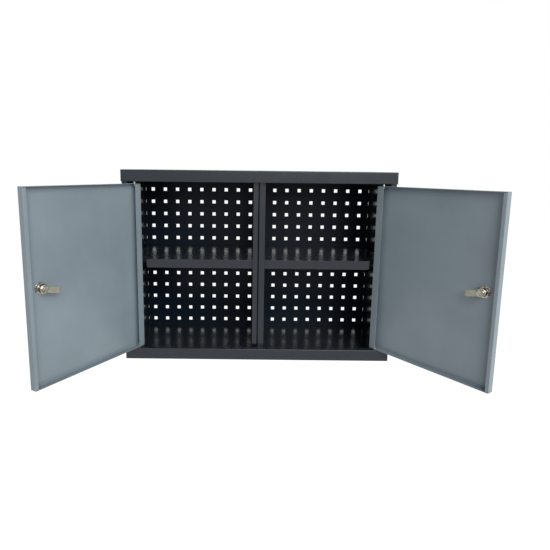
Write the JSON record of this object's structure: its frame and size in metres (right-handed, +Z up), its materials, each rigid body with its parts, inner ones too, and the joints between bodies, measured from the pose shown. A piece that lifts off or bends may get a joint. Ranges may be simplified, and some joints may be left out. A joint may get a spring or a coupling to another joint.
{
  "type": "wall tool cabinet with doors",
  "caption": "Wall-mounted sheet steel tool cabinet with two hinged pan doors, cam locks, a perforated back panel, a central divider and shelves, shown with the doors open.",
  "frame": {"origin": "middle of the cabinet's underside, half way between front and rear", "axes": "+X to the right seen from the front, +Y from the front towards the wall, +Z up. Doors stand open as in the picture"},
  "size_m": [0.9946, 0.553, 0.5],
  "materials": {
    "body_grey": "satin",
    "inside_grey": "satin",
    "door_grey": "gloss",
    "zinc_steel": "satin",
    "lock_chrome": "polished",
    "tongue_zinc": "satin"
  },
  "bodies": {
    "cabinet": {"roof_panel": "body_grey", "floor_panel": "body_grey", "left_side_panel": "body_grey", "right_side_panel": "body_grey", "back_panel": "inside_grey", "divider_left_half": "body_grey", "divider_right_half": "body_grey", "left_shelf": "body_grey", "right_shelf": "body_grey", "left_wall_bracket": "body_grey", "left_divider_bracket": "body_grey", "right_divider_bracket": "body_grey", "right_wall_bracket": "body_grey", "bracket_rivets": "zinc_steel", "upper_left_hinge_pin": "zinc_steel", "lower_left_hinge_pin": "zinc_steel", "upper_right_hinge_pin": "zinc_steel", "lower_right_hinge_pin": "zinc_steel", "left_hinge_washer": "zinc_steel", "right_hinge_washer": "zinc_steel"},
    "left_door_leaf": {"left_door": "door_grey", "left_lock_barrel": "lock_chrome", "left_lock_washer": "lock_chrome", "left_lock_nut": "lock_chrome"},
    "right_door_leaf": {"right_door": "door_grey", "right_lock_barrel": "lock_chrome", "right_lock_washer": "lock_chrome", "right_lock_nut": "lock_chrome"},
    "left_lock": {"left_lock_plug": "zinc_steel", "left_lock_tongue": "tongue_zinc", "left_tongue_screw": "zinc_steel"},
    "right_lock": {"right_lock_plug": "zinc_steel", "right_lock_tongue": "tongue_zinc", "right_tongue_screw": "zinc_steel"}
  },
  "joints": [
    {"name": "left_door_hinge", "type": "hinge", "parent": "cabinet", "child": "left_door_leaf", "pos_m": [-0.3175, -0.133, 0.25], "axis": [0, 0, -1], "range_deg": [-121, 9]},
    {"name": "right_door_hinge", "type": "hinge", "parent": "cabinet", "child": "right_door_leaf", "pos_m": [0.3175, -0.133, 0.25], "axis": [0, 0, 1], "range_deg": [-125.5, 4.5]},
    {"name": "left_lock_turn", "type": "hinge", "parent": "left_door_leaf", "child": "left_lock", "pos_m": [-0.46171, -0.37301, 0.2485], "axis": [0.8572, -0.515, 0], "range_deg": [0, 180]},
    {"name": "right_lock_turn", "type": "hinge", "parent": "right_door_leaf", "child": "right_lock", "pos_m": [0.4801, -0.36095, 0.2485], "axis": [0.8141, 0.5807, 0], "range_deg": [0, 180]}
  ]
}
